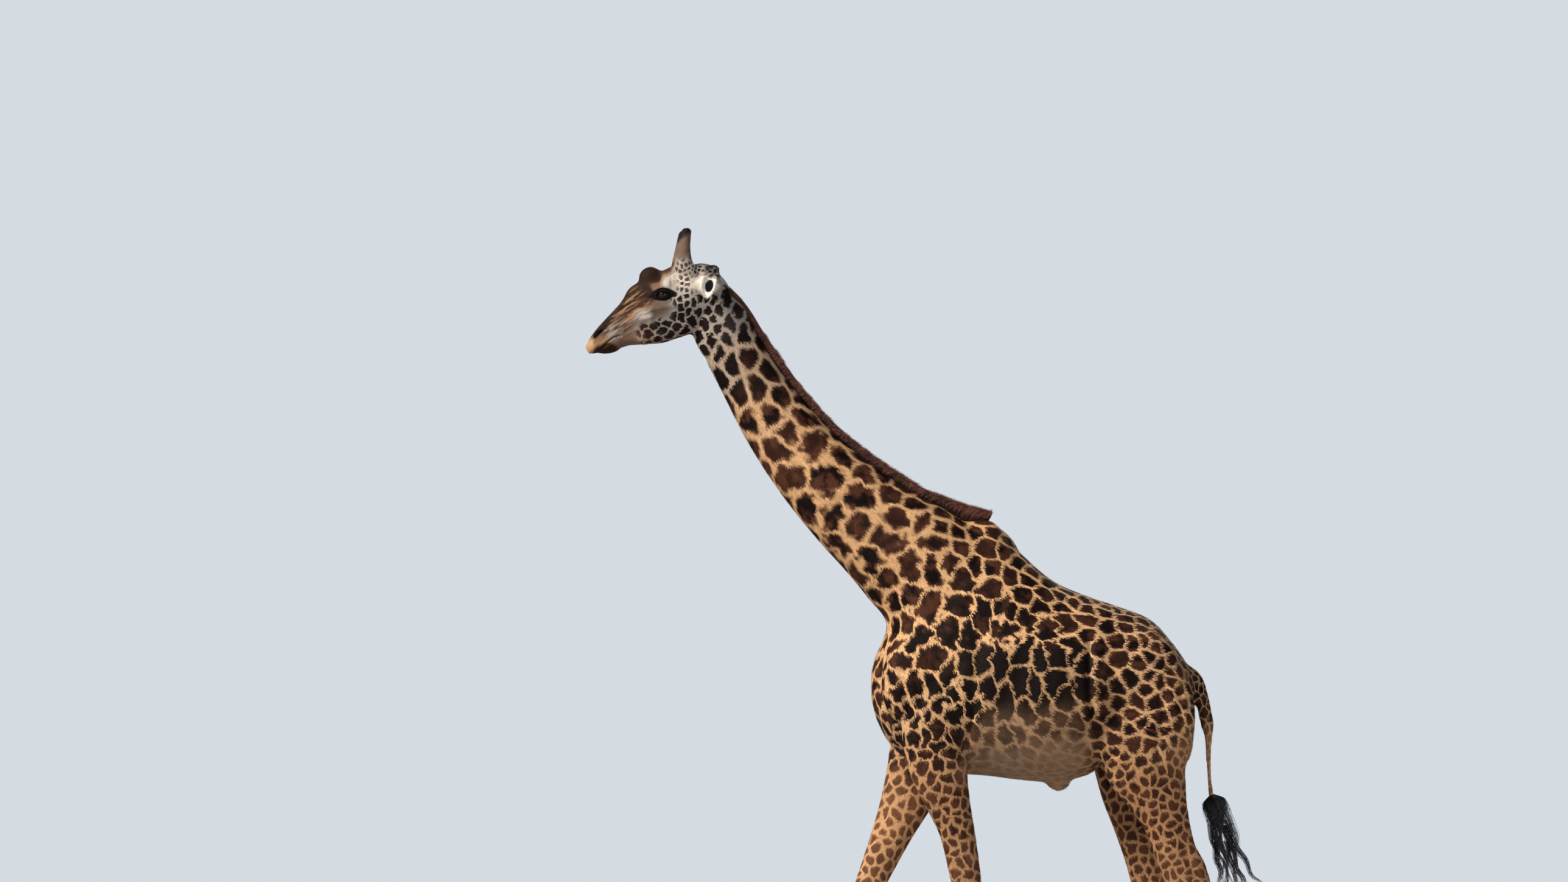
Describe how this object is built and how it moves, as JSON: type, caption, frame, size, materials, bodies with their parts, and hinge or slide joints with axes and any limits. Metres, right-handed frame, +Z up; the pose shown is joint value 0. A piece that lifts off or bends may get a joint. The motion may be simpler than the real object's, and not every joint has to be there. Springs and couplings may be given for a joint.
{
  "type": "giraffe",
  "caption": "Life-size standing giraffe in mid stride, with patterned coat, upright mane, two skin-covered horns and a tufted tail.",
  "frame": {"origin": "on the floor, at the centre of the bounding box's base", "axes": "-X the way the animal faces, -Y its left side, +Z up"},
  "size_m": [3.3298, 0.7895, 4.466],
  "materials": {
    "coat": "short hair, brown patches on tan",
    "face": "short hair, dark spots on grey-white",
    "mane": "stiff chestnut hair",
    "tail_hair": "long black hair",
    "hoof": "matte horn",
    "eye": "wet gloss"
  },
  "bodies": {
    "root": {"ear_left": "face", "ear_right": "face", "eye_left": "eye", "eye_right": "eye", "foreleg_left": "coat", "foreleg_right": "coat", "head": "face", "hindleg_left": "coat", "hindleg_right": "coat", "hoof_fore_left_inner": "hoof", "hoof_fore_left_outer": "hoof", "hoof_fore_right_inner": "hoof", "hoof_fore_right_outer": "hoof", "hoof_hind_left_inner": "hoof", "hoof_hind_left_outer": "hoof", "hoof_hind_right_inner": "hoof", "hoof_hind_right_outer": "hoof", "mane": "mane", "neck_lower": "coat", "neck_upper": "coat", "ossicone_left": "face", "ossicone_right": "face", "tail": "coat", "tail_tuft": "tail_hair", "trunk": "coat"}
  },
  "joints": []
}
